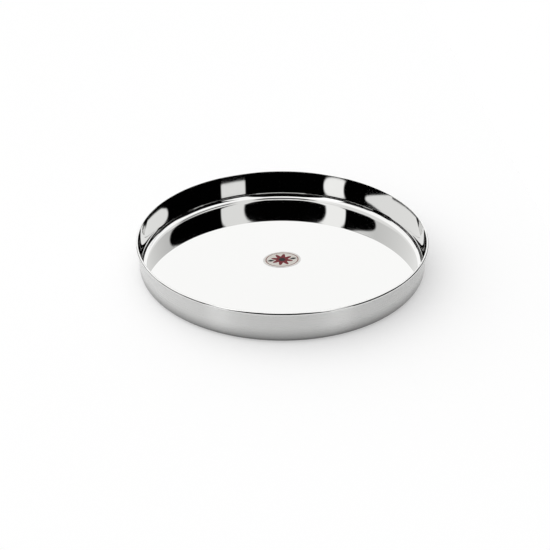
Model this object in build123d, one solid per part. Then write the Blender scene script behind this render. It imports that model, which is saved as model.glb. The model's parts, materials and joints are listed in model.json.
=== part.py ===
from build123d import *
import math
import os

# Round thali of polished stainless sheet: one blank drawn into a flat base with
# a nearly upright wall, its edge rolled outwards into an open hem. An oval foil
# sticker lies on the middle of the base, on its own coat of adhesive.
# Millimetres, +Z up. The origin is the centre of the underside, on the table.

# The drawn plate
RIM_DIAMETER = 300.0        # over the rolled hem, a 12 inch plate
PLATE_HEIGHT = 34.0         # table to the top of the hem
SHEET = 0.7                 # 22 gauge blank
CORNER_RADIUS = 7.5         # between base and wall, on the outer skin
WALL_DRAFT = 0.3            # degrees that the wall leans outwards

# The rolled hem: a tight bend at the top of the wall, then a fuller shoulder outside it
HEM_BEND_INSIDE = 0.1       # radius inside the tight bend
HEM_SHOULDER_RADIUS = 1.8   # on the outer skin
HEM_BLEND_ANGLE = 70.0      # degrees above level where the bend passes into the shoulder
HEM_LEG = 0.6               # straight tail of the sheet, hanging outside the wall
HEM_EDGE_BREAK = 0.15       # rounding of the sheared edge at the end of the tail

# The sticker
LABEL_LENGTH = 40.0
LABEL_WIDTH = 32.0
LABEL_TURN = 12.0           # degrees anticlockwise from +X, seen from above
LABEL_FILM = 0.10           # printed foil
LABEL_GLUE = 0.03           # adhesive coat under the foil
LABEL_GLUE_MARGIN = 0.25    # bare edge of foil outside the adhesive


def bend_centre():
    """Centre of the hem's tight bend, in radius and height."""
    blend = math.radians(HEM_BLEND_ANGLE)
    bend_outside = HEM_BEND_INSIDE + SHEET
    shoulder_x = RIM_DIAMETER / 2 - HEM_SHOULDER_RADIUS
    offset = HEM_SHOULDER_RADIUS - bend_outside
    return Vector(shoulder_x + offset * math.cos(blend), PLATE_HEIGHT - bend_outside)


def shoulder_centre():
    """Centre of the hem's shoulder, on the line that both arcs share where they meet."""
    blend = math.radians(HEM_BLEND_ANGLE)
    offset = HEM_SHOULDER_RADIUS - HEM_BEND_INSIDE - SHEET
    return bend_centre() - Vector(math.cos(blend), math.sin(blend)) * offset


def corner_centre():
    """Centre of the corner arcs: one corner radius above the table and inside the outer wall."""
    lean = math.radians(WALL_DRAFT)
    bend = bend_centre()
    across_wall = CORNER_RADIUS + HEM_BEND_INSIDE
    rise = bend.Y - CORNER_RADIUS
    return Vector(bend.X - (across_wall + rise * math.sin(lean)) / math.cos(lean), CORNER_RADIUS)


def plate_section():
    """Half section of the drawn sheet in the XZ plane, from the axis out to the rolled edge."""
    lean = math.radians(WALL_DRAFT)
    outwards = Vector(math.cos(lean), -math.sin(lean))
    upwards = Vector(math.sin(lean), math.cos(lean))
    bend = bend_centre()
    shoulder = shoulder_centre()
    corner = corner_centre()
    bend_outside = HEM_BEND_INSIDE + SHEET
    shoulder_inside = HEM_SHOULDER_RADIUS - SHEET
    corner_inside = CORNER_RADIUS - SHEET
    bend_sweep = 180 - WALL_DRAFT - HEM_BLEND_ANGLE
    shoulder_sweep = HEM_BLEND_ANGLE + WALL_DRAFT
    tail = upwards * -HEM_LEG

    with BuildSketch(Plane.XZ) as section:
        with BuildLine():
            # Outer skin: underside, corner, wall and the inside of the roll
            Line((0, 0), (corner.X, 0))
            CenterArc(corner, CORNER_RADIUS, -90, 90 - WALL_DRAFT)
            Line(corner + outwards * CORNER_RADIUS, bend - outwards * HEM_BEND_INSIDE)
            CenterArc(bend, HEM_BEND_INSIDE, 180 - WALL_DRAFT, -bend_sweep)
            CenterArc(shoulder, shoulder_inside, HEM_BLEND_ANGLE, -shoulder_sweep)
            # Tail of the hem and its sheared edge
            tail_inside = shoulder + outwards * shoulder_inside
            tail_outside = shoulder + outwards * HEM_SHOULDER_RADIUS
            Line(tail_inside, tail_inside + tail)
            Line(tail_inside + tail, tail_outside + tail)
            Line(tail_outside + tail, tail_outside)
            # Inner skin: over the roll, down the wall, round the corner and back to the axis
            CenterArc(shoulder, HEM_SHOULDER_RADIUS, -WALL_DRAFT, shoulder_sweep)
            CenterArc(bend, bend_outside, HEM_BLEND_ANGLE, bend_sweep)
            Line(bend - outwards * bend_outside, corner + outwards * corner_inside)
            CenterArc(corner, corner_inside, -WALL_DRAFT, WALL_DRAFT - 90)
            Line((corner.X, SHEET), (0, SHEET))
            Line((0, SHEET), (0, 0))
        make_face()
        tail_middle = (tail_inside + tail_outside) * 0.5 + tail
        sheared_corners = section.vertices().sort_by_distance(tail_middle)[:2]
        fillet(sheared_corners, min(HEM_EDGE_BREAK, 0.4 * SHEET))
    return section.sketch


def thali_body():
    """The whole drawn plate, turned from its half section."""
    return revolve(plate_section(), Axis.Z)


def label_layer(length, width, bottom, thickness):
    """One oval layer of the sticker, turned to its place on the base."""
    with BuildPart() as layer:
        with BuildSketch(Plane.XY.offset(bottom)):
            Ellipse(length / 2, width / 2, rotation=LABEL_TURN)
        extrude(amount=thickness)
    return layer.part


def label_adhesive():
    trim = 2 * LABEL_GLUE_MARGIN
    return label_layer(LABEL_LENGTH - trim, LABEL_WIDTH - trim, SHEET, LABEL_GLUE)


def label_face():
    return label_layer(LABEL_LENGTH, LABEL_WIDTH, SHEET + LABEL_GLUE, LABEL_FILM)


os.makedirs("parts", exist_ok=True)
for make_node in (thali_body, label_adhesive, label_face):
    export_step(make_node(), f"parts/{make_node.__name__}.step")
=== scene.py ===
import json
import math

import bpy
import numpy as np
from mathutils import Matrix, Vector


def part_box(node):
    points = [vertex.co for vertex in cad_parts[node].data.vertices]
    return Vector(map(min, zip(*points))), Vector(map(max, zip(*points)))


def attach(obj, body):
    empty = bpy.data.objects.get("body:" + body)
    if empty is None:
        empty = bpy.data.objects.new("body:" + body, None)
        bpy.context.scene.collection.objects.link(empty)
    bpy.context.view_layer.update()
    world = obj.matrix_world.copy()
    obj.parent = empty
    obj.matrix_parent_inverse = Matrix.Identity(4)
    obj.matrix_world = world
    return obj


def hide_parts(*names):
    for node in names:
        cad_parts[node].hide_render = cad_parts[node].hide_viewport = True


# Round steel thali, mirror polished inside and over its rolled rim and belt-dressed outside, with an oval
# foil sticker on the middle of its base.
# Metres, +Z up. The origin is the centre of the underside, on the table, and the viewer stands on -Y.

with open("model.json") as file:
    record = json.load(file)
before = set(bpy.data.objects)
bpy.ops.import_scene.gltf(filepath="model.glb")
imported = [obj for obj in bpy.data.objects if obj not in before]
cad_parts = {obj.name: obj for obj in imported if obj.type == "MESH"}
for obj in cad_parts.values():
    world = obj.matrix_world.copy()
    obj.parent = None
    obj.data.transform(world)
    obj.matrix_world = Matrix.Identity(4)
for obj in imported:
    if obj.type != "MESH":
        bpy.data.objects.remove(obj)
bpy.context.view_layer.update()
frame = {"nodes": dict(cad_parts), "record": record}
mm = 0.001
print("frame loaded:", ", ".join(sorted(frame["nodes"])))


def linear(hexColour):
    # sRGB hex to linear RGBA
    channel = np.array([int(hexColour[i:i + 2], 16) for i in (1, 3, 5)]) / 255
    curved = ((channel + 0.055) / 1.055) ** 2.4
    return (*np.where(channel <= 0.04045, channel / 12.92, curved).tolist(), 1.0)


def addNode(tree, kind, inputs=None, **settings):
    # settings go on the node, inputs are values or the sockets that feed it, by name or number
    node = tree.nodes.new(kind)
    for name, value in settings.items():
        setattr(node, name, value)
    for name, value in (inputs or {}).items():
        if isinstance(value, bpy.types.NodeSocket):
            tree.links.new(value, node.inputs[name])
        else:
            node.inputs[name].default_value = value
    return node


def newMaterial(name):
    material = bpy.data.materials.new(name)
    material.use_nodes = True
    material.node_tree.nodes.clear()
    return material, material.node_tree


def addObject(name, mesh, material):
    thing = bpy.data.objects.new(name, mesh)
    mesh.materials.append(material)
    bpy.context.scene.collection.objects.link(thing)
    return thing


def latheMesh(name, profile, segments, stretch=1.0, turn=0.0):
    # each profile point (r, z) goes round the Z axis: x = stretch r cos a, y = r sin a, then both turned;
    # the first and last points lie on the axis and close the form as poles
    angle = np.linspace(0, 2 * math.pi, segments, endpoint=False)
    ring = profile[1:-1]
    along, across = stretch * ring[:, :1] * np.cos(angle), ring[:, :1] * np.sin(angle)
    points = np.stack([along * math.cos(turn) - across * math.sin(turn),
                       along * math.sin(turn) + across * math.cos(turn),
                       np.broadcast_to(ring[:, 1:], along.shape)], axis=2).reshape(-1, 3)
    poles = np.array([[0, 0, profile[0, 1]], [0, 0, profile[-1, 1]]])
    index = np.arange(len(ring) * segments).reshape(len(ring), segments)
    onward = np.roll(index, -1, axis=1)
    quads = np.stack([index[:-1], index[1:], onward[1:], onward[:-1]], axis=2).reshape(-1, 4)
    startPole = np.full(segments, len(points))
    firstFan = np.stack([startPole, index[0], onward[0]], axis=1)
    lastFan = np.stack([startPole + 1, onward[-1], index[-1]], axis=1)
    mesh = bpy.data.meshes.new(name)
    mesh.from_pydata(np.vstack([points, poles]).tolist(), [],
                     quads.tolist() + firstFan.tolist() + lastFan.tolist())
    mesh.polygons.foreach_set("use_smooth", np.ones(len(mesh.polygons), dtype=bool))
    return mesh


def arcPoints(centre, radius, start, end, count):
    # centre + radius (cos a, sin a), with a in even steps from start to end
    a = np.linspace(start, end, count)
    return np.array(centre) + radius * np.stack([np.cos(a), np.sin(a)], axis=1)


# Plate
plate = {
    "sheet": 0.7 * mm,
    "cornerRadius": 7.5 * mm,            # base to wall, on the outer skin
    "wallLean": math.radians(0.3),
    "hemBend": 0.1 * mm,                 # inside the tight bend at the top of the wall
    "hemShoulder": 1.8 * mm,             # fuller curve outside it, on the outer skin
    "hemBlend": math.radians(70),        # above level, where the bend passes into the shoulder
    "hemLeg": 0.6 * mm,                  # tail of the sheet, outside the wall
    "hemEdge": 0.15 * mm,                # rounding of the sheared edge
    "guard": 0.2 * mm,                   # rings that keep flats flat beside a bend
    "segments": 480,
    # rings of points on each stretch of the section
    "rings": {"base": 10, "corner": 30, "wall": 12, "bend": 20, "shoulder": 22, "edge": 5,
              "rollShoulder": 12, "rollBend": 8},
    "colour": "#dddddc",
    "buffSpacing": 0.9 * mm,             # between the rings of the buffing wheel
    "buffDepth": 0.00006 * mm,
    "buffGloss": (0.004, 0.014),         # roughness along and between the rings
    "rippleSize": 45 * mm,               # slow waves that the press leaves in the sheet
    "rippleDepth": 0.010 * mm,
    "brushSpacing": 0.3 * mm,            # between the belt's lines on the outer skin
    "brushDepth": 0.0002 * mm,
    "brushGloss": (0.255, 0.345),        # roughness along and between the lines
    "brushStretch": 1.0,                 # how much wider the outer skin spreads light up and down
    "brushTurn": 0.25,                   # of a whole turn, from the tangent round the plate to upright
    "noiseSpan": (0.3, 0.7),             # the part of a noise's range that the gloss follows
    # painted shade: the outer skin is painted darker towards the table, for the contact shadow that its heel
    # reflects
    "paintedShadeLow": 1.0 * mm,                 # above the table, where the painted shade on the heel is darkest
    "paintedShadeHigh": 20.0 * mm,               # and where it has faded out
    "paintedShadeFade": 2.0,                     # power of the fade between them
    "paintedShadeColour": "#1c1c1b",
}


def flatPoints(start, end, count):
    # even steps along a straight stretch, its ends left to the bends beside it but for a guard ring each
    length = np.linalg.norm(end - start)
    share = plate["guard"] / length
    t = np.concatenate([[share], np.linspace(0, 1, count + 2)[1:-1], [1 - share]])
    return start + t[:, None] * (end - start)


def plateProfile(rimRadius, height):
    # the drawn sheet's section as (r, z): out over the base, up the wall, over the rolled hem and
    # round its sheared edge; then back up inside the roll, down the outer skin and in under the base
    sheet, lean, edge = plate["sheet"], plate["wallLean"], plate["hemEdge"]
    bend, inner, outer = plate["cornerRadius"], plate["hemBend"], plate["hemShoulder"]
    skin, blend, rings = inner + sheet, plate["hemBlend"], plate["rings"]
    out = np.array([math.cos(lean), -math.sin(lean)])
    up = np.array([math.sin(lean), math.cos(lean)])
    shift = (outer - skin) * np.array([math.cos(blend), math.sin(blend)])
    hem = np.array([rimRadius - outer + shift[0], height - skin])
    shoulder = hem - shift
    tail = shoulder - up * plate["hemLeg"]
    across = bend + inner + (hem[1] - bend) * math.sin(lean)
    corner = np.array([hem[0] - across / math.cos(lean), bend])
    quarter, half = math.pi / 2, math.pi
    mirror = np.vstack([
        [[0, sheet]],
        flatPoints(np.array([0, sheet]), np.array([corner[0], sheet]), rings["base"]),
        arcPoints(corner, bend - sheet, -quarter, -lean, rings["corner"]),
        flatPoints(corner + out * (bend - sheet), hem - out * skin, rings["wall"]),
        arcPoints(hem, skin, half - lean, blend, rings["bend"]),
        arcPoints(shoulder, outer, blend, -lean, rings["shoulder"])[1:],
        arcPoints(tail + out * (outer - edge) + up * edge, edge, -lean, -quarter - lean, rings["edge"]),
    ])
    brushed = np.vstack([
        arcPoints(tail + out * (outer - sheet + edge) + up * edge, edge,
                  -quarter - lean, -half - lean, rings["edge"]),
        arcPoints(shoulder, outer - sheet, -lean, blend, rings["rollShoulder"]),
        arcPoints(hem, inner, blend, half - lean, rings["rollBend"])[1:],
        flatPoints(hem - out * inner, corner + out * bend, rings["wall"]),
        arcPoints(corner, bend, -lean, -quarter, rings["corner"]),
        flatPoints(np.array([corner[0], 0]), np.array([0, 0]), rings["base"]),
        [[0, 0]],
    ])
    # painted shade: the outer skin is painted darkest where it turns under, for the contact shadow that it
    # reflects, and the shade fades up the wall and in under the base
    above = np.interp(brushed[:, 1], [plate["paintedShadeLow"], plate["paintedShadeHigh"]], [1, 0]) ** plate["paintedShadeFade"]
    within = np.interp(brushed[:, 0], [corner[0] - plate["paintedShadeHigh"], corner[0]], [0, 1])
    finishAndPaintedShade = np.zeros((len(mirror) + len(brushed), 2))
    finishAndPaintedShade[len(mirror):, 0], finishAndPaintedShade[len(mirror):, 1] = 1, above * within
    return np.vstack([mirror, brushed]), finishAndPaintedShade


def polishedSteel():
    # 18/8 stainless sheet, drawn in a press: inside and over the hem it is buffed to a mirror on a turning
    # chuck, and shows the room almost sharply, a little bent by the sheet's slow ripple; outside it is only
    # dressed with a fine belt, so fine level lines smear what it shows up and down. The heel carries painted
    # shade: its colour is darkened towards the table, for the contact shadow that it reflects
    material, tree = newMaterial("polishedStainlessSteel")
    place = addNode(tree, "ShaderNodeTexCoord").outputs["Object"]
    brushed = addNode(tree, "ShaderNodeAttribute", attribute_name="brushed").outputs["Fac"]
    paintedShade = addNode(tree, "ShaderNodeAttribute", attribute_name="paintedShade").outputs["Fac"]
    split = addNode(tree, "ShaderNodeSeparateXYZ", {0: place})
    level = addNode(tree, "ShaderNodeVectorMath", {0: place, 1: (1, 1, 0)}, operation="MULTIPLY")
    radius = addNode(tree, "ShaderNodeVectorMath", {0: level.outputs[0]}, operation="LENGTH")
    # radius plus height runs across the rings on the base and on the wall alike
    across = addNode(tree, "ShaderNodeMath", {0: radius.outputs["Value"], 1: split.outputs["Z"]})
    rings = addNode(tree, "ShaderNodeTexNoise", {
        "W": across.outputs[0], "Scale": 1 / plate["buffSpacing"], "Detail": 3.0}, noise_dimensions="1D")
    grain = addNode(tree, "ShaderNodeTexNoise", {
        "W": across.outputs[0], "Scale": 1 / plate["brushSpacing"], "Detail": 2.0}, noise_dimensions="1D")
    ripple = addNode(tree, "ShaderNodeTexNoise", {
        "Vector": place, "Scale": 1 / plate["rippleSize"], "Detail": 1.0})
    low, high = plate["noiseSpan"]
    finishes = []
    for noise, span in ((rings, plate["buffGloss"]), (grain, plate["brushGloss"])):
        finishes.append(addNode(tree, "ShaderNodeMapRange", {
            "Value": noise.outputs[0], "From Min": low, "From Max": high,
            "To Min": span[0], "To Max": span[1]}).outputs[0])
    gloss = addNode(tree, "ShaderNodeMix", {0: brushed, 2: finishes[0], 3: finishes[1]})
    waves = addNode(tree, "ShaderNodeBump", {
        "Height": ripple.outputs[0], "Distance": plate["rippleDepth"], "Strength": 1.0})
    lines = addNode(tree, "ShaderNodeBump", {
        "Height": rings.outputs[0], "Distance": plate["buffDepth"], "Strength": 1.0,
        "Normal": waves.outputs[0]})
    scores = addNode(tree, "ShaderNodeBump", {
        "Height": grain.outputs[0], "Distance": plate["brushDepth"], "Strength": brushed,
        "Normal": lines.outputs[0]})
    # painted shade: the steel's colour is darkened towards the table at the heel
    tone = addNode(tree, "ShaderNodeMix", {
        0: paintedShade, 6: linear(plate["colour"]), 7: linear(plate["paintedShadeColour"])}, data_type="RGBA")
    around = addNode(tree, "ShaderNodeTangent", direction_type="RADIAL", axis="Z")
    steel = addNode(tree, "ShaderNodeBsdfPrincipled", {
        "Base Color": tone.outputs[2], "Metallic": 1.0, "Roughness": gloss.outputs[0],
        "Anisotropic": plate["brushStretch"], "Anisotropic Rotation": plate["brushTurn"],
        "Tangent": around.outputs[0], "Normal": scores.outputs[0]})
    addNode(tree, "ShaderNodeOutputMaterial", {"Surface": steel.outputs[0]})
    return material


rimDiameter, _, plateHeight = frame["record"]["size"]["bbox_m"]
profile, finishAndPaintedShade = plateProfile(rimDiameter / 2, plateHeight)
plateMesh = latheMesh("plate", profile, plate["segments"])
# the finish and the painted shade by vertex: each ring's shares, then those of the two poles
for column, name in enumerate(("brushed", "paintedShade")):
    share = plateMesh.attributes.new(name, "FLOAT", "POINT")
    ringShare = np.repeat(finishAndPaintedShade[1:-1, column], plate["segments"])
    share.data.foreach_set("value", np.concatenate([ringShare, finishAndPaintedShade[[0, -1], column]]))
plateObject = addObject("plate", plateMesh, polishedSteel())
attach(plateObject, "root")
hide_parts("thali_body")
print("plate turned:", len(plateMesh.polygons), "faces")


# Sticker
sticker = {
    "length": 40.0 * mm,
    "width": 32.0 * mm,
    "turn": math.radians(12),            # anticlockwise, seen from above
    "gluePad": 0.25 * mm,                # bare edge of film outside the glue
    "filmEdge": 0.03 * mm,               # rounding of the cut edges
    "glueEdge": 0.01 * mm,
    "segments": 192,
    "faceRings": 14,
    "edgeRings": 5,
    "glueTones": ("#c4bda6", "#dcd8ca"),
    "glueStrings": 1.5 * mm,
    "glueGloss": (0.25, 0.5),
    "glueIor": 1.47,                     # acrylic
    "silver": "#c9c8c6",                 # bare foil round the edge
    "cream": "#d0ccc5",
    "red": "#6b141e",
    "dark": "#141211",
    "bareEdge": 1.1 * mm,
    "lineInset": 2.4 * mm,               # thin red oval inside the edge
    "lineWidth": 0.7 * mm,
    "flowerReach": 11.5 * mm,            # red petals round the middle
    "petals": 8,
    "petalRoot": 0.55,                   # share of the reach that is left between two petals
    "heartRadius": 3.4 * mm,
    "leafPlace": 12.0 * mm,              # a dark leaf at each end of the flower
    "leafLength": 8.5 * mm,
    "leafWidth": 4.0 * mm,
    "inkSoftness": 0.12 * mm,
    "inkGrain": 0.5 * mm,
    "inkGloss": (0.3, 0.5),
    "grainSpan": (0.25, 0.75),           # the part of the grain's range that shows
    "grainTone": (0.86, 1.08),           # and how much it darkens and lightens the ink
    "varnish": 0.15,                     # specular level of its matt coat
    "wrinkle": 6.0 * mm,
    "wrinkleDepth": 0.012 * mm,
}


def ovalProfile(halfWidth, bottom, top, edge):
    # half section of a thin oval pad as (r, z): out over its face, round the cut edge and back underneath
    quarter, count = math.pi / 2, sticker["edgeRings"]
    face = np.linspace(0, halfWidth - edge, sticker["faceRings"])
    low, high = bottom + edge, top - edge
    return np.vstack([
        np.stack([face, np.full_like(face, top)], axis=1)[:-1],
        arcPoints((halfWidth - edge, high), edge, quarter, 0, count),
        arcPoints((halfWidth - edge, low), edge, 0, -quarter, count),
        np.stack([face, np.full_like(face, bottom)], axis=1)[-2::-1],
    ])


def ovalPad(name, node, trim, edge, material):
    # the node's own height, on an oval that is trimmed all round
    low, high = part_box(node)
    halfWidth, halfLength = sticker["width"] / 2 - trim, sticker["length"] / 2 - trim
    mesh = latheMesh(name, ovalProfile(halfWidth, low[2], high[2], edge), sticker["segments"],
                     halfLength / halfWidth, sticker["turn"])
    pad = addObject(name, mesh, material)
    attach(pad, "root")
    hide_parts(node)
    return pad


def acrylicGlue():
    # clear pressure-sensitive acrylic, rolled out thin: a pale yellowish edge, softly glossy and a little
    # stringy
    material, tree = newMaterial("clearAcrylicGlue")
    place = addNode(tree, "ShaderNodeTexCoord").outputs["Object"]
    strings = addNode(tree, "ShaderNodeTexNoise", {
        "Vector": place, "Scale": 1 / sticker["glueStrings"], "Detail": 2.0, "Distortion": 1.0})
    deep, pale = (linear(shade) for shade in sticker["glueTones"])
    tone = addNode(tree, "ShaderNodeMix", {0: strings.outputs[0], 6: deep, 7: pale}, data_type="RGBA")
    bright, dull = sticker["glueGloss"]
    gloss = addNode(tree, "ShaderNodeMapRange", {
        "Value": strings.outputs[0], "To Min": bright, "To Max": dull})
    glue = addNode(tree, "ShaderNodeBsdfPrincipled", {
        "Base Color": tone.outputs[2], "Roughness": gloss.outputs[0], "IOR": sticker["glueIor"]})
    addNode(tree, "ShaderNodeOutputMaterial", {"Surface": glue.outputs[0]})
    return material


def printedFoil():
    # thin aluminium foil printed cream, red and dark under a matt varnish: a bare silver edge, flat inks
    # with a fine grain and little shine, and slight wrinkles in the film
    material, tree = newMaterial("printedFoil")
    place = addNode(tree, "ShaderNodeTexCoord").outputs["Object"]
    turned = addNode(tree, "ShaderNodeMapping", {
        "Vector": place, "Rotation": (0, 0, -sticker["turn"])}).outputs[0]
    split = addNode(tree, "ShaderNodeSeparateXYZ", {0: turned})
    halfLength, halfWidth = sticker["length"] / 2, sticker["width"] / 2
    # distance inside the edge, from the oval's own scale of 0 in the middle and 1 at the edge
    oval = addNode(tree, "ShaderNodeVectorMath", {
        0: turned, 1: (1 / halfLength, 1 / halfWidth, 0)}, operation="MULTIPLY")
    share = addNode(tree, "ShaderNodeVectorMath", {0: oval.outputs[0]}, operation="LENGTH")
    inside = addNode(tree, "ShaderNodeMath", {
        0: share.outputs["Value"], 1: -halfWidth, 2: halfWidth}, operation="MULTIPLY_ADD")
    fieldDepth = addNode(tree, "ShaderNodeMath", {
        0: inside.outputs[0], 1: sticker["bareEdge"]}, operation="SUBTRACT")
    offLine = addNode(tree, "ShaderNodeMath", {
        0: inside.outputs[0], 1: sticker["lineInset"]}, operation="SUBTRACT")
    awayLine = addNode(tree, "ShaderNodeMath", {0: offLine.outputs[0]}, operation="ABSOLUTE")
    lineDepth = addNode(tree, "ShaderNodeMath", {
        0: sticker["lineWidth"] / 2, 1: awayLine.outputs[0]}, operation="SUBTRACT")
    # petals: the flower's reach swings between its full length and its roots, once for each petal
    flat = addNode(tree, "ShaderNodeVectorMath", {0: turned, 1: (1, 1, 0)}, operation="MULTIPLY")
    length = addNode(tree, "ShaderNodeVectorMath", {0: flat.outputs[0]}, operation="LENGTH")
    radius = length.outputs["Value"]
    angle = addNode(tree, "ShaderNodeMath", {
        0: split.outputs["Y"], 1: split.outputs["X"]}, operation="ARCTAN2")
    swing = addNode(tree, "ShaderNodeMath", {0: angle.outputs[0], 1: sticker["petals"]}, operation="MULTIPLY")
    wave = addNode(tree, "ShaderNodeMath", {0: swing.outputs[0]}, operation="COSINE")
    reach = addNode(tree, "ShaderNodeMapRange", {
        "Value": wave.outputs[0], "From Min": -1.0,
        "To Min": sticker["flowerReach"], "To Max": sticker["petalRoot"] * sticker["flowerReach"]})
    petalDepth = addNode(tree, "ShaderNodeMath", {0: reach.outputs[0], 1: radius}, operation="SUBTRACT")
    heartDepth = addNode(tree, "ShaderNodeMath", {0: sticker["heartRadius"], 1: radius}, operation="SUBTRACT")
    # leaves: a lozenge at each end, by the sum of the shares of its half length and half width
    mirrored = addNode(tree, "ShaderNodeMath", {0: split.outputs["X"]}, operation="ABSOLUTE")
    alongLeaf = addNode(tree, "ShaderNodeMath", {
        0: mirrored.outputs[0], 1: sticker["leafPlace"]}, operation="SUBTRACT")
    leaf = addNode(tree, "ShaderNodeCombineXYZ", {"X": alongLeaf.outputs[0], "Y": split.outputs["Y"]})
    leafAway = addNode(tree, "ShaderNodeVectorMath", {0: leaf.outputs[0]}, operation="ABSOLUTE")
    halfLeaf = sticker["leafWidth"] / 2
    leafSum = addNode(tree, "ShaderNodeVectorMath", {
        0: leafAway.outputs[0], 1: (2 / sticker["leafLength"], 1 / halfLeaf, 0)}, operation="DOT_PRODUCT")
    leafDepth = addNode(tree, "ShaderNodeMath", {
        0: leafSum.outputs["Value"], 1: -halfLeaf, 2: halfLeaf}, operation="MULTIPLY_ADD")

    soft = sticker["inkSoftness"] / 2
    colour, printed = linear(sticker["silver"]), None
    for depth, ink in ((fieldDepth, "cream"), (lineDepth, "red"), (petalDepth, "red"),
                       (heartDepth, "dark"), (leafDepth, "dark")):
        mask = addNode(tree, "ShaderNodeMapRange", {
            "Value": depth.outputs[0], "From Min": -soft, "From Max": soft}, interpolation_type="SMOOTHSTEP")
        printed = printed or mask.outputs[0]
        colour = addNode(tree, "ShaderNodeMix", {
            0: mask.outputs[0], 6: colour, 7: linear(sticker[ink])}, data_type="RGBA").outputs[2]
    grain = addNode(tree, "ShaderNodeTexNoise", {
        "Vector": place, "Scale": 1 / sticker["inkGrain"], "Detail": 3.0})
    low, high = sticker["grainSpan"]
    darker, lighter = sticker["grainTone"]
    speckle = addNode(tree, "ShaderNodeMapRange", {
        "Value": grain.outputs[0], "From Min": low, "From Max": high, "To Min": darker, "To Max": lighter})
    tone = addNode(tree, "ShaderNodeVectorMath", {0: colour, "Scale": speckle.outputs[0]}, operation="SCALE")
    metal = addNode(tree, "ShaderNodeMapRange", {"Value": printed, "To Min": 1.0, "To Max": 0.0})
    bright, dull = sticker["inkGloss"]
    gloss = addNode(tree, "ShaderNodeMapRange", {
        "Value": grain.outputs[0], "To Min": bright, "To Max": dull})
    wrinkles = addNode(tree, "ShaderNodeTexNoise", {
        "Vector": place, "Scale": 1 / sticker["wrinkle"], "Detail": 2.0})
    creased = addNode(tree, "ShaderNodeBump", {
        "Height": wrinkles.outputs[0], "Distance": sticker["wrinkleDepth"], "Strength": 1.0})
    foil = addNode(tree, "ShaderNodeBsdfPrincipled", {
        "Base Color": tone.outputs[0], "Metallic": metal.outputs[0], "Roughness": gloss.outputs[0],
        "Specular IOR Level": sticker["varnish"], "Normal": creased.outputs[0]})
    addNode(tree, "ShaderNodeOutputMaterial", {"Surface": foil.outputs[0]})
    return material


gluePad = ovalPad("sticker_glue", "label_adhesive", sticker["gluePad"], sticker["glueEdge"], acrylicGlue())
film = ovalPad("sticker_film", "label_face", 0.0, sticker["filmEdge"], printedFoil())
print("sticker laid:", len(film.data.polygons) + len(gluePad.data.polygons), "faces")


# Stage
stage = {
    "floorDepth": 3.0,                   # behind the plate and to its left
    "floorFront": 0.40,                  # the paper ends just outside the picture, in front and on the right
    "floorRight": 0.30,
    "floorDrop": 0.05 * mm,              # keeps the floor off the underside
    "floorColour": "#cbcbcb",
    "floorGlow": 0.40,                   # lifts the open paper to white, and leaves the shadow
    "sideLean": 0.8,                     # share that light from the left gains and from the right loses
    "tentLight": 1.29,                   # white tent, as the metal sees it
    "keyAzimuth": -46,                   # its left front is lit a little more
    "keyFade": (9.6, 22.4),              # degrees from there where that begins to fade, and where it ends
    "keyGain": 1.2,
    "clothLight": 0.0005,
    "sag": 2.3 / 130 ** 2,               # degrees that edges rise, for each degree of azimuth squared
    "tight": 12.5,                       # corners and edges are this much tighter in height than in azimuth
    "edgeSoftness": 0.8,
    # Patches of the tent by direction, in degrees: azimuth from and to, with 0 in front and the right
    # positive, then the heights of the lower and the upper edge at those two ends, and the corners'
    # rounding. The notes say where the plate shows a patch; its inside swaps left and right.
    "lowCloth": (-140, 150, (0, -20), (26.85, 26.85), 6),
    "gaps": [
        (-59, -35.4, (24.42, 24.42), (25.76, 25.76), 14),    # far wall, right of the middle
        (31.7, 53.2, (24.77, 24.77), (25.73, 25.73), 2.3),   # far wall, left of the middle
        (-55, -38, (-25, -25), (6, 6), 3),                   # outer skin, left
        (34, 51, (-25, -25), (6, 6), 3),                     # outer skin, right
        (108.6, 200, (24.75, 24.85), (25.92, 26.4), 20),     # left wall
        (124.5, 200, (19, -40), (24.2, 24.2), 4),            # foot of the left wall
        (109, 200, (26.44, 26.44), (28, 28), 3),             # and above that
        (-200, -74, (21.9, 25.16), (27.6, 25.46), 6),        # right wall
        (-200, -101.5, (9, 14), (28, 28), 4),                # end of the low cloth, at the right
    ],
    "cloths": [
        (-41, 35.5, (26.8, 26.8), (28.97, 28.97), 30),       # back of the base, in the middle
        (-80, -53, (27.16, 26.65), (28.34, 29.0), 3),        # at the right, and its round tip
        (-91.2, -65, (27.42, 26.87), (28.1, 28.73), 16),
        (50.5, 96, (26.68, 26.9), (29.08, 28.75), 3),        # at the left, and its round tip
        (70, 115.5, (26.9, 27.4), (29.0, 28.5), 22),
        (-37, 31, (28.97, 28.97), (74, 74), 3),              # near rim, in the middle
        (-85, -57, (29.0, 29.0), (36, 46), 3),               # at the left
        (54, 106, (29.0, 29.0), (62, 44), 3),                # and at the right
        (-70, -53.4, (24.2, 24.2), (25.95, 25.95), 16),      # bulge into the far wall's right gap
        (-150, -104, (24.2, 24.2), (24.62, 24.62), 2),       # under the right rim
        (-107, -100, (26.3, 26.3), (26.8, 26.8), 2),
        (100, 123, (24.5, 24.5), (25.36, 24.68), 4),         # corner of the left wall's gap
    ],
    "windows": [
        (40, 54.4, (26.7, 26.7), (28.9, 28.9), 16),          # back of the base, left of the middle
        (-56.8, -44, (26.7, 26.7), (28.9, 28.9), 16),        # and right of it
    ],
    # Grey nets: a patch, then the share of light that passes at its two ends
    "nets": [
        ((-152, -88, (26.9, 26.9), (29.2, 29.2), 3), (1.03, 0.74)),    # right side of the base
        ((-88, -62, (26.9, 26.9), (29.2, 29.2), 3), (0.74, 1.0)),
        ((106, 158, (26.9, 26.9), (29.2, 29.2), 3), (0.64, 0.95)),     # left side of the base
    ],
}


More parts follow.
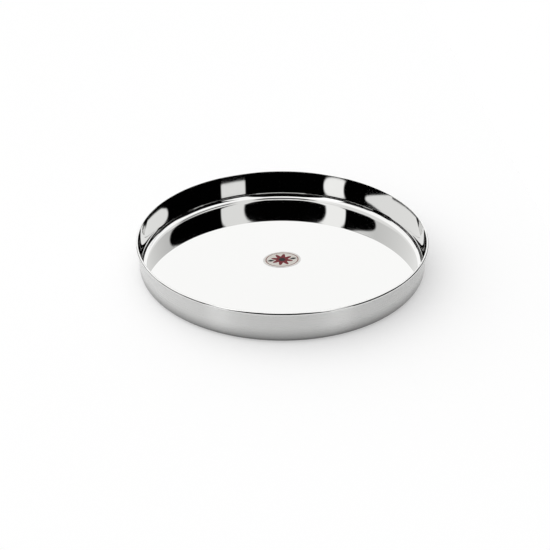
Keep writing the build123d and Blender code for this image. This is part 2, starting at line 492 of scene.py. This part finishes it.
def makeFloor():
    far, front, right = stage["floorDepth"], stage["floorFront"], stage["floorRight"]
    level = -stage["floorDrop"]
    mesh = bpy.data.meshes.new("floor")
    mesh.from_pydata([(-far, -front, level), (right, -front, level), (right, far, level), (-far, far, level)],
                     [], [(0, 1, 2, 3)])
    material, tree = newMaterial("whitePaperSweep")
    paper = addNode(tree, "ShaderNodeBsdfDiffuse", {"Color": linear(stage["floorColour"])})
    # seen directly, in metal or through glass, but adding no light to what stands on it
    ray = addNode(tree, "ShaderNodeLightPath")
    seen = addNode(tree, "ShaderNodeMath", {
        0: ray.outputs["Is Camera Ray"], 1: ray.outputs["Is Glossy Ray"]})
    shown = addNode(tree, "ShaderNodeMath", {
        0: seen.outputs[0], 1: ray.outputs["Is Transmission Ray"]}, use_clamp=True)
    strength = addNode(tree, "ShaderNodeMath", {
        0: shown.outputs[0], 1: stage["floorGlow"]}, operation="MULTIPLY")
    glow = addNode(tree, "ShaderNodeEmission", {"Strength": strength.outputs[0]})
    lit = addNode(tree, "ShaderNodeAddShader", {0: paper.outputs[0], 1: glow.outputs[0]})
    addNode(tree, "ShaderNodeOutputMaterial", {"Surface": lit.outputs[0]})
    floor = addObject("floor", mesh, material)


def patchDepth(tree, azimuth, height, patch):
    # how far inside a patch a direction lies: the smooth least of its distances from the four edges,
    # where the lower and the upper edge run straight from one end's height to the other's
    start, end, bottom, top, rounding = patch
    depths = [addNode(tree, "ShaderNodeMath", {0: azimuth, 1: start}, operation="SUBTRACT"),
              addNode(tree, "ShaderNodeMath", {0: end, 1: azimuth}, operation="SUBTRACT")]
    for heights, scale in ((bottom, stage["tight"]), (top, -stage["tight"])):
        edge = addNode(tree, "ShaderNodeMapRange", {
            "Value": azimuth, "From Min": start, "From Max": end,
            "To Min": -scale * heights[0], "To Max": -scale * heights[1]})
        depths.append(addNode(tree, "ShaderNodeMath", {
            0: height, 1: scale, 2: edge.outputs[0]}, operation="MULTIPLY_ADD"))
    least = depths[0]
    for depth in depths[1:]:
        least = addNode(tree, "ShaderNodeMath", {
            0: least.outputs[0], 1: depth.outputs[0], 2: rounding}, operation="SMOOTH_MIN")
    return least.outputs[0]


def makeStudio():
    # soft white light all round, stronger from the left; only metal and other gloss sees that it is a white
    # tent hung with black cloths and grey nets, by direction alone
    world = bpy.data.worlds.new("studio")
    world.use_nodes = True
    tree = world.node_tree
    tree.nodes.clear()
    direction = addNode(tree, "ShaderNodeTexCoord").outputs["Generated"]
    split = addNode(tree, "ShaderNodeSeparateXYZ", {0: direction})
    front = addNode(tree, "ShaderNodeMath", {0: split.outputs["Y"], 1: -1.0}, operation="MULTIPLY")
    turn = addNode(tree, "ShaderNodeMath", {0: split.outputs["X"], 1: front.outputs[0]}, operation="ARCTAN2")
    azimuth = addNode(tree, "ShaderNodeMath", {0: turn.outputs[0]}, operation="DEGREES").outputs[0]
    tilt = addNode(tree, "ShaderNodeMath", {0: split.outputs["Z"]}, operation="ARCSINE")
    elevation = addNode(tree, "ShaderNodeMath", {0: tilt.outputs[0]}, operation="DEGREES").outputs[0]
    square = addNode(tree, "ShaderNodeMath", {0: azimuth, 1: azimuth}, operation="MULTIPLY")
    height = addNode(tree, "ShaderNodeMath", {
        0: square.outputs[0], 1: -stage["sag"], 2: elevation}, operation="MULTIPLY_ADD").outputs[0]
    # the low cloth with its gaps cut out, the cloths hung over it, and the windows cut out of them all
    depth = patchDepth(tree, azimuth, height, stage["lowCloth"])
    for patches, side, operation in (("gaps", -1.0, "MINIMUM"), ("cloths", 1.0, "MAXIMUM"),
                                     ("windows", -1.0, "MINIMUM")):
        for patch in stage[patches]:
            within = addNode(tree, "ShaderNodeMath", {
                0: patchDepth(tree, azimuth, height, patch), 1: side}, operation="MULTIPLY")
            depth = addNode(tree, "ShaderNodeMath", {
                0: depth, 1: within.outputs[0]}, operation=operation).outputs[0]
    # the tent's own light, a little stronger round the key and weaker behind the nets
    offKey = addNode(tree, "ShaderNodeMath", {0: azimuth, 1: stage["keyAzimuth"]}, operation="SUBTRACT")
    awayKey = addNode(tree, "ShaderNodeMath", {0: offKey.outputs[0]}, operation="ABSOLUTE")
    tent = addNode(tree, "ShaderNodeMapRange", {
        "Value": awayKey.outputs[0], "From Min": stage["keyFade"][0], "From Max": stage["keyFade"][1],
        "To Min": stage["keyGain"] * stage["tentLight"], "To Max": stage["tentLight"]},
        interpolation_type="SMOOTHSTEP").outputs[0]
    soft = stage["edgeSoftness"]
    for net, passing in stage["nets"]:
        behind = addNode(tree, "ShaderNodeMapRange", {
            "Value": azimuth, "From Min": net[0], "From Max": net[1],
            "To Min": passing[0], "To Max": passing[1]})
        through = addNode(tree, "ShaderNodeMapRange", {
            "Value": patchDepth(tree, azimuth, height, net), "From Min": -soft, "From Max": soft,
            "To Min": 1.0, "To Max": behind.outputs[0]}, interpolation_type="SMOOTHSTEP")
        tent = addNode(tree, "ShaderNodeMath", {
            0: tent, 1: through.outputs[0]}, operation="MULTIPLY").outputs[0]
    hung = addNode(tree, "ShaderNodeMapRange", {
        "Value": depth, "From Min": -soft, "From Max": soft,
        "To Min": tent, "To Max": stage["clothLight"]}, interpolation_type="SMOOTHSTEP")
    plain = addNode(tree, "ShaderNodeMath", {
        0: split.outputs["X"], 1: -stage["sideLean"], 2: 1.0}, operation="MULTIPLY_ADD")
    ray = addNode(tree, "ShaderNodeLightPath")
    lit = addNode(tree, "ShaderNodeMix", {
        0: ray.outputs["Is Glossy Ray"], 2: plain.outputs[0], 3: hung.outputs[0]})
    backdrop = addNode(tree, "ShaderNodeMath", {
        0: ray.outputs["Is Camera Ray"], 1: ray.outputs["Is Transmission Ray"]}, use_clamp=True)
    strength = addNode(tree, "ShaderNodeMix", {0: backdrop.outputs[0], 2: lit.outputs[0], 3: 1.0})
    light = addNode(tree, "ShaderNodeBackground", {"Color": (1, 1, 1, 1), "Strength": strength.outputs[0]})
    addNode(tree, "ShaderNodeOutputWorld", {"Surface": light.outputs[0]})
    bpy.context.scene.world = world


makeFloor()
makeStudio()
print("studio hung:", len(stage["cloths"]) + 1, "black cloths,", len(stage["nets"]), "grey nets")


# Camera
camera = {
    "position": Vector((0, -0.7744, 0.4621)),
    "aim": Vector((-0.00718, -0.02967, 0)),
    "roll": math.radians(-0.204),
    "lens": 55.95,
    "sensor": 36.0,
}


def makeCamera():
    data = bpy.data.cameras.new("camera")
    data.sensor_width = camera["sensor"]
    data.lens = camera["lens"]
    thing = bpy.data.objects.new("camera", data)
    bpy.context.scene.collection.objects.link(thing)
    look = (camera["aim"] - camera["position"]).to_track_quat("-Z", "Y").to_matrix().to_4x4()
    roll = Matrix.Rotation(camera["roll"], 4, "Z")
    thing.matrix_world = Matrix.Translation(camera["position"]) @ look @ roll
    bpy.context.scene.camera = thing


makeCamera()
bpy.context.scene.view_settings.view_transform = "Standard"
print("camera set:", camera["lens"], "mm lens")
